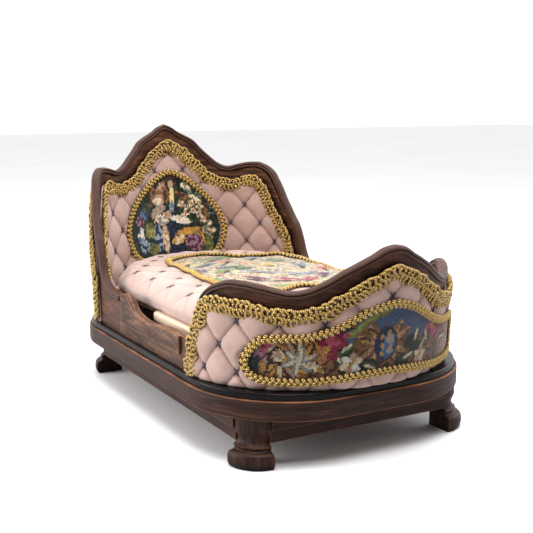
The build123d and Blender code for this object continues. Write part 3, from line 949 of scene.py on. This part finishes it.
def scroll_picture():
    """Acanthus scrolls round an oval, with roses, for the footboard."""
    art = Picture(("bark", "rust"), 4.0, 2, 0.62)
    art.dab(12, 116, 44, 10, "slate", "slate", -4, 0.1)
    art.dab(-34, 104, 10, 5, "slate", "slate", 30, 0.1)
    art.dab(30, 106, 20, 8, "slate", "slate", 0, 0.1)
    for x, y, turn in ((-24, 113, 40), (-30, 107, 20), (-8, 122, 10), (-16, 118, 30)):
        art.leaf(x, y, 15, turn, "leaf", "olive")
    for turn in (-155, -125, 155, 125, 55, 28, -35, -62):
        angle = math.radians(turn)
        art.leaf(-3 + 17 * math.cos(angle), 96 + 12 * math.sin(angle), 21, turn, "tan", "rust")
        art.leaf(-3 + 20 * math.cos(angle), 95 + 14 * math.sin(angle), 11, turn + 20, "gold", "bark")
    art.dab(-2, 96, 10.5, 14.5, "bark", "bark", 0, 0.05)
    art.dab(-2.5, 96, 9, 13, "navy", "navy", 0, 0.05)
    art.dab(0.5, 94.5, 5.6, 11, "sky", "blue", -6, 0.15)
    for x, y in ((-6, 102), (-5.5, 95), (-5, 88), (1, 99), (2, 92), (0.5, 105)):
        art.dab(x, y, 1.7, 2.2, "ochre")
    for x, y in ((24, 95), (30, 88), (-38, 90), (-16, 80), (16, 79), (-30, 78)):
        art.dab(x, y, 8, 6, "forest", "black")
    for x, y, turn in ((29, 99, 75), (42, 97, 110), (38, 89, 60), (-34, 95, 40), (-40, 88, 120),
                       (22, 82, 20), (-14, 79, 160)):
        art.leaf(x, y, 13, turn, "cream", "moss")
    art.flower(-50, 95, 11, ("crimson", "rose", "crimson"), "ochre", 6, 15)
    art.flower(-39, 103, 6.5, ("rose", "crimson"), "crimson", 4, 40)
    art.flower(50, 103, 9.5, ("crimson", "rose"), "ochre", 6)
    art.flower(60, 95, 6.5, ("rose", "crimson"), "plum", 5)
    art.flower(-30, 82, 8.5, ("cream", "tan", "white"), "gold", 6, 20)
    art.flower(36, 81, 7, ("cream", "tan"), "gold", 5, 10)
    art.dab(-78, 88, 27, 14, "gold", "ochre", 6)
    for turn in range(0, 360, 30):
        angle = math.radians(turn)
        art.leaf(-77 + 16 * math.cos(angle), 88 + 11 * math.sin(angle), 16, turn + 35,
                 ("tan", "ochre", "cream")[turn // 30 % 3], ("rust", "bark")[turn // 30 % 2])
    art.dab(-88, 90, 8, 8, "bark", "black")
    art.dab(-86, 90, 5, 5, "cream", "tan")
    for turn in range(15, 375, 60):
        angle = math.radians(turn)
        art.leaf(-70 + 7 * math.cos(angle), 86 + 6 * math.sin(angle), 13, turn + 10, "cream", "grey")
    art.dab_rows((-70, 86, 4, 3.2, "grey", "cream"), (-92, 97, 7, 2.6, "cream", "tan", 50),
                 (-56, 80, 6, 2.6, "gold", "cream", -30), (-101, 90, 7, 6, "mauve", "plum"))
    art.flower(-98, 97, 6, ("rose", "mauve"), "crimson", 5)
    art.dab(-106, 80, 6, 8, "forest", "black")
    art.dab(84, 86, 20, 15, "gold", "rust")
    for turn in (20, 70, 110, 165, 215, 260, 310):
        angle = math.radians(turn)
        art.leaf(84 + 11 * math.cos(angle), 87 + 9 * math.sin(angle), 16, turn + 15,
                 ("cream", "ochre", "tan")[turn % 3], ("rust", "bark")[turn % 2])
    art.flower(104, 94, 7, ("ochre", "cream"), "rust", 5)
    art.dab(116, 88, 7, 9, "rust", "gold")
    return art


def meadow_picture():
    """Loose sprays of flowers on cream, for the coverlet."""
    art = Picture(("cream", "tan"), 6.0, 3, 0.72)
    sprays = [(3, 74, 24, 3.4, 40, "orange", "tan"), (-23, 69, 16, 2.6, 10, "navy", "grey"),
              (-7, 46, 20, 2.4, -20, "black", "slate"), (-20, 30, 16, 4, 30, "green", "leaf"),
              (2, 38, 14, 3.2, -30, "green", "moss"), (-45, 44, 9, 6, 20, "mauve", "plum"),
              (10, -34, 20, 4, -35, "pink", "crimson"), (28, -46, 13, 3.4, 20, "crimson", "rose"),
              (-1, -60, 14, 4, 10, "green", "leaf"), (7, 9, 22, 3, -50, "slate", "sky"),
              (38, -15, 20, 3, -20, "blue", "sky"), (54, -29, 12, 4, 30, "mauve", "plum"),
              (56, 64, 16, 4, -10, "leaf", "sage"), (5, 101, 24, 5, 0, "sage", "leaf"),
              (-36, 84, 12, 4, 30, "lemon", "tan"), (63, 27, 14, 4, 60, "sky", "grey"),
              (76, 2, 9, 4, 70, "rose", "orange"), (-49, -6, 7, 12, 10, "leaf", "green"),
              (-38, -44, 10, 5, -40, "sage", "slate"), (-12, -18, 15, 3.4, -60, "plum", "crimson"),
              (40, 84, 12, 3, 20, "grey", "sky"), (34, 42, 12, 4, 0, "lemon", "ochre")]
    for x, y, wide, high, turn, name, other in sprays:
        art.dab(x + 3, y - 3, wide * 1.1, high * 2.6, "lemon", "sky", turn, 0.6)
        art.dab(x, y, wide, high * 1.9, name, other, turn, 0.7)
        art.dab(x - 4, y - high * 2.4, wide * 0.7, high * 0.7, "forest", "bark", turn + 12, 0.5)
    for x, y, petals in ((-28, 14, "rose"), (18, 58, "orange"), (44, -58, "crimson"), (-22, -52, "pink"),
                         (70, 44, "mauve"), (-30, 100, "ochre"), (26, 12, "blue")):
        art.leaf(x - 7, y - 4, 12, 210, "green", "moss")
        art.leaf(x + 7, y - 5, 12, -35, "leaf", "green")
        art.flower(x, y, 7, (petals, "cream"), "ochre", 6, x)
    return art


def needlework(name, outline, place, picture, pitch, replaced, body):
    """A sheet of stitches inside an outline in its own flat plane.

    place turns a flat (a, b) and a height into points in space.
    """
    low, high = outline.min(axis=0), outline.max(axis=0)
    columns = int((high[0] - low[0]) / pitch) + 1
    rows = int((high[1] - low[1]) / pitch) + 1
    column, row = (grid.ravel() for grid in np.meshgrid(np.arange(columns), np.arange(rows)))
    a, b = low[0] + (column + 0.5) * pitch, low[1] + (row + 0.5) * pitch
    keep = inside(outline, a, b)
    column, row, a, b = column[keep], row[keep], a[keep], b[keep]
    corner = np.stack([(row + up) * (columns + 1) + column + over
                       for over, up in ((0, 0), (1, 0), (1, 1), (0, 1))], 1)
    used, index = np.unique(corner, return_inverse=True)
    index = index.reshape(corner.shape)
    edge_a, edge_b = low[0] + used % (columns + 1) * pitch, low[1] + used // (columns + 1) * pitch
    height = np.array([rng.uniform(0.14, 0.3) for _ in a])
    vertices = np.vstack([place(edge_a, edge_b, np.zeros(len(used))), place(a, b, height)])
    middle = np.arange(len(a)) + len(used)
    faces = np.concatenate([np.stack([index[:, i], index[:, (i + 1) % 4], middle], 1) for i in range(4)])
    made = make_object(name, vertices, faces, wool)
    if facing_in(made, place, a, b):
        made.data.flip_normals()
    shade = np.column_stack([np.tile(picture.paint(a, b), (4, 1)), np.ones(4 * len(a))])
    layer = made.data.color_attributes.new("thread", "FLOAT_COLOR", "CORNER")
    layer.data.foreach_set("color", np.repeat(shade, 3, axis=0).ravel())
    placed(made, "needlework", replaced, body=body)


def facing_in(made, place, a, b):
    """Whether a new sheet's first face looks away from its raised side."""
    raised = place(a[:1], b[:1], np.array([5.0]))[0] - place(a[:1], b[:1], np.array([0.0]))[0]
    return made.data.polygons[0].normal.dot(Vector(raised)) < 0


def wall_needlework(name, end, rim, base, outward, picture, pitch, replaced):
    """Needlework stretched over a wall's pad, its flat plane being (u, z)."""
    def place(u, z, height):
        return end.point(u, z, base) + end.normal(u, z) * (outward * (height + 0.3))[:, None]

    edge = inset(rim, braid_width * 0.55, closed=True)
    flat = np.column_stack([end.u_of(edge[:, 0]), edge[:, 1]])
    needlework(name, flat, place, picture, pitch, replaced, "bedstead")


wall_needlework("medallion_needlework", head, medallion_rim, -wall - inner_pad_thickness, -1,
                garden_picture(), 1.15, "headboard_medallion")
wall_needlework("panel_needlework", foot, panel_rim, pad_thickness, 1, scroll_picture(), 1.15,
                "footboard_panel")


# ---- mattress: a cloth-covered board under a stuffed, tufted pad ----
def mattress_line(setback):
    """The mattress outline in plan, moved in by a setback."""
    turn = np.linspace(0, math.pi, 90)
    centre = mattress_apex - mattress_depth
    x = (mattress_half_width - setback) * np.cos(turn)
    y = (mattress_depth - setback) * np.sin(turn) + centre
    side = np.linspace(centre, -centre, 120)[1:-1]
    half = np.vstack([np.column_stack([x, y]),
                      np.column_stack([np.full(len(side), setback - mattress_half_width), side])])
    return np.vstack([half, -half])


def board_line(setback):
    """The board's outline in plan: narrower towards the head beyond its rounded shoulders."""
    line = mattress_line(setback)
    start = board_shoulder_y - board_shoulder_radius
    along = np.clip(line[:, 1] - start + setback, 0, board_shoulder_radius)
    reach = mattress_half_width - board_shoulder_radius - setback
    reach = reach + np.sqrt(board_shoulder_radius**2 - along**2)
    line[:, 0] = np.clip(line[:, 0], -reach, reach)
    return line


edge_steps = [(2.2, 0), (0.9, 0.4), (0.2, 1.3), (0, 2.6)]
board_levels = [(setback, mattress_bottom + up) for setback, up in edge_steps]
board_levels += [(setback, pad_bottom - up) for setback, up in reversed(edge_steps)]
rings = [board_line(setback) for setback, _ in board_levels]
ring_points = np.vstack([np.column_stack([ring, np.full(len(ring), height)])
                         for ring, (_, height) in zip(rings, board_levels)])
around = len(rings[0])
board_ends = [list(range(around))[::-1], list(range((len(rings) - 1) * around, len(rings) * around))]
board = make_object("mattress_covered_board", ring_points, grid_faces(len(rings), around, wrap=True),
                    tan_cloth, ends=board_ends)
placed(board, "board_cloth", "mattress_board", body="mattress")


def stuffed(source, name, voxel, pressure, cap, sideways):
    """A soft copy of a CAD solid, blown up as cloth and held within a cap of its start."""
    mesh = nodes[source].data.copy()
    pad = bpy.data.objects.new(name, mesh)
    bpy.context.collection.objects.link(pad)
    bpy.context.view_layer.objects.active = pad
    remesh = pad.modifiers.new("even", "REMESH")
    remesh.mode = "VOXEL"
    remesh.voxel_size = voxel * MM
    bpy.ops.object.modifier_apply(modifier=remesh.name)
    start = vertex_places(pad)
    start[:, :2] *= 0.992
    start[:, 2] = pad_bottom + (start[:, 2] - pad_bottom) * 0.93
    pad.data.vertices.foreach_set("co", (start * MM).ravel())
    pad.data.update()
    cloth = pad.modifiers.new("air", "CLOTH")
    cloth.settings.use_pressure = True
    cloth.settings.uniform_pressure_force = pressure
    cloth.settings.effector_weights.gravity = 0
    cloth.point_cache.frame_start = 1
    cloth.point_cache.frame_end = 20
    for step in range(1, 21):
        bpy.context.scene.frame_set(step)
    swollen = pad.evaluated_get(bpy.context.evaluated_depsgraph_get())
    moved = vertex_places(swollen) - start
    pad.modifiers.remove(cloth)
    bpy.context.scene.frame_set(1)
    moved[:, :2] = np.clip(moved[:, :2], -sideways, sideways)
    moved[:, 2] = np.clip(moved[:, 2], -cap, cap)
    start = start + moved
    start[:, 2] = np.maximum(start[:, 2], pad_bottom + 0.1)
    pad.data.vertices.foreach_set("co", (start * MM).ravel())
    finer = pad.modifiers.new("finer", "SUBSURF")
    finer.levels = 1
    bpy.ops.object.modifier_apply(modifier=finer.name)
    pad.data.materials.clear()
    pad.data.materials.append(lit_mattress_cloth)
    pad.data.polygons.foreach_set("use_smooth", [True] * len(pad.data.polygons))
    return pad


def vertex_places(thing):
    """An object's vertices in millimetres."""
    places = np.empty(len(thing.data.vertices) * 3)
    thing.data.vertices.foreach_get("co", places)
    return places.reshape(-1, 3) / MM


mattress = stuffed("mattress_pad", "mattress_tufted_pad", voxel=4, pressure=4.0, cap=5.0, sideways=3.0)
tuft_x = 36
tuft_y = 41
tuft_shift = 2
tuft_middle = 6
edge_fall = 6.5
edge_fall_width = 26
inner_line = mattress_line(5)
tufts = [(a + tuft_shift, b) for a, b in crossings(tuft_x, tuft_y, tuft_middle)
         if inside(inner_line, a + tuft_shift, b)]
points = vertex_places(mattress)
x, y = points[:, 0], points[:, 1]
crown = np.clip(1 - (x / mattress_half_width) ** 2, 0, 1) * np.clip(1 - (y / mattress_apex) ** 2, 0, 1)
top_share = np.clip((points[:, 2] - pad_top + 11) / 8, 0, 1)
dimple = sum(np.exp(-((x - a) ** 2 + (y - b) ** 2) / 16) for a, b in tufts)
channel = quilting(x - tuft_shift, y, tuft_x, tuft_y, tuft_middle)
ripple = np.array([noise.fractal(Vector((a / 22, b / 22, 5)), 0.9, 2.0, 3) for a, b in zip(x, y)])
edge_line = mattress_line(0)
near_edge = np.min([np.hypot(x - a, y - b) for a, b in edge_line], axis=0)
slope = np.clip(1 - near_edge / edge_fall_width, 0, 1) ** 1.6
body_share = np.clip((points[:, 2] - pad_bottom) / 21, 0, 1)
points[:, 2] += top_share * (2.4 * crown + 2.0 * (channel - 0.6) - 0.5 * dimple + 0.5 * ripple)
points[:, 2] -= edge_fall * slope * body_share
mattress.data.vertices.foreach_set("co", (points * MM).ravel())
mattress.data.update()
# Painted shade along the tufting's channels on the mattress top.
mark_painted_shade(mattress, (1 - channel * 1.9) * top_share * 0.7)
placed(mattress, "mattress_fabric", "mattress_pad", body="mattress")

surface = BVHTree.FromPolygons([v.co / MM for v in mattress.data.vertices],
                               [p.vertices[:] for p in mattress.data.polygons])


def lying(a, b, lift):
    """Points on the mattress top, a lift above it, smoothed over its tufting."""
    samples = []
    for x_place, y_place in zip(a, b):
        near = [surface.ray_cast(Vector((x_place + dx, y_place + dy, 200)), Vector((0, 0, -1)))[0]
                for dx, dy in ((0, 0), (5, 0), (-5, 0), (0, 5), (0, -5))]
        samples.append(sum(hit.z for hit in near) / len(near) + 0.35)
    return np.column_stack([a, b, np.array(samples) + lift])


coverlet_rim = smooth_curve(coverlet_outline, closed=True)
needlework("coverlet_needlework", inset(coverlet_rim, braid_width * 0.55, closed=True), lying,
           meadow_picture(), 1.5, "coverlet", "mattress")
coverlet_line = inset(coverlet_rim, braid_width / 2, closed=True)
coverlet_points = resample(lying(*coverlet_line.T, 0.4), path_step, closed=True)
straight_up = np.tile((0.0, 0.0, 1.0), (len(coverlet_points), 1))
scalloped_braid("coverlet_scallop_braid", coverlet_points, straight_up, "coverlet_braid",
                body="mattress")

tuft_tubes = Tubes()
for a, b in tufts:
    if inside(coverlet_rim, a, b):
        continue
    spot = surface.ray_cast(Vector((a, b, 200)), Vector((0, 0, -1)))
    turn = rng.uniform(-0.65, -0.35)
    normal = np.array(spot[1])
    along = np.cross((-math.sin(turn), math.cos(turn), 0), normal)
    upward = np.cross(normal, along)
    arms = (along * rng.uniform(3.8, 4.6), upward * rng.uniform(5.5, 6.8))
    cross_stitch(tuft_tubes, np.array(spot[0]) + normal * 0.4, arms, normal, 0.34)
placed(tuft_tubes.make("mattress_tuft_stitches", floss), "mattress_fabric", body="mattress")

# ---- floor, light and camera ----
paper = Finish("pale_floor", Roughness=0.9)
white = paper.ramp(paper.noise(paper.coords, 3, 2), (0.3, colour(250, 250, 250)),
                   (0.7, colour(255, 255, 255)))
seen = paper.node("LightPath").outputs["Is Camera Ray"]
paper.link(Base_Color=paper.mix(seen, colour(196, 196, 198), white))
reach = 6000
corners = [(-reach, -reach, 0), (reach, -reach, 0), (reach, reach, 0), (-reach, reach, 0)]
floor = make_object("floor", corners, [(0, 1, 2, 3)], paper.material, smooth=False)


def soft_light(name, place, target, size, power):
    """A square studio softbox aimed at a target, in metres and watts."""
    lamp = bpy.data.lights.new(name, "AREA")
    lamp.size = size
    lamp.energy = power
    light = bpy.data.objects.new(name, lamp)
    light.location = place
    light.rotation_euler = (Vector(target) - Vector(place)).to_track_quat("-Z", "Y").to_euler()
    bpy.context.collection.objects.link(light)


soft_light("overhead_softbox", (0.1, 0.1, 1.4), (0, 0.1, 0.1), 1.2, 11)
soft_light("headboard_softbox", (-0.15, -0.38, 0.9), (0, 0.2, 0.15), 0.5, 7)
soft_light("right_softbox", (1.5, 0.1, 0.7), (0, 0, 0.15), 0.8, 4)
soft_light("left_softbox", (-1.5, 0.7, 0.5), (0, 0, 0.1), 0.9, 18)


def studio_world():
    """White card all round, with a darker opening towards the front left."""
    world = bpy.data.worlds.new("studio")
    world.use_nodes = True
    card = Nodes(world.node_tree)
    direction = card.node("TexCoord").outputs["Generated"]
    facing = card.node("VectorMath", {0: direction, 1: (-0.2, -0.97, 0.1)}, operation="DOT_PRODUCT")
    opening = card.ramp(facing.outputs["Value"], (0.1, 1.0), (0.62, (0.04, 0.04, 0.05, 1)))
    seen = card.node("LightPath").outputs["Is Camera Ray"]
    shade = card.mix(seen, opening, (1, 1, 1, 1))
    card.fill(card.tree.nodes["Background"], {"Color": shade, "Strength": 1.3})
    bpy.context.scene.world = world


studio_world()
bpy.context.scene.view_settings.view_transform = "Standard"

# The camera fitted to the photograph, in metres.
lens = bpy.data.cameras.new("camera")
lens.lens = 66.2
lens.sensor_width = 36
camera = bpy.data.objects.new("camera", lens)
camera.location = (-0.44495, -0.80043, 0.28701)
aim = Vector((0.0092, 0, 0.1234)) - camera.location
camera.rotation_euler = aim.to_track_quat("-Z", "Y").to_euler()
bpy.context.collection.objects.link(camera)
bpy.context.scene.camera = camera
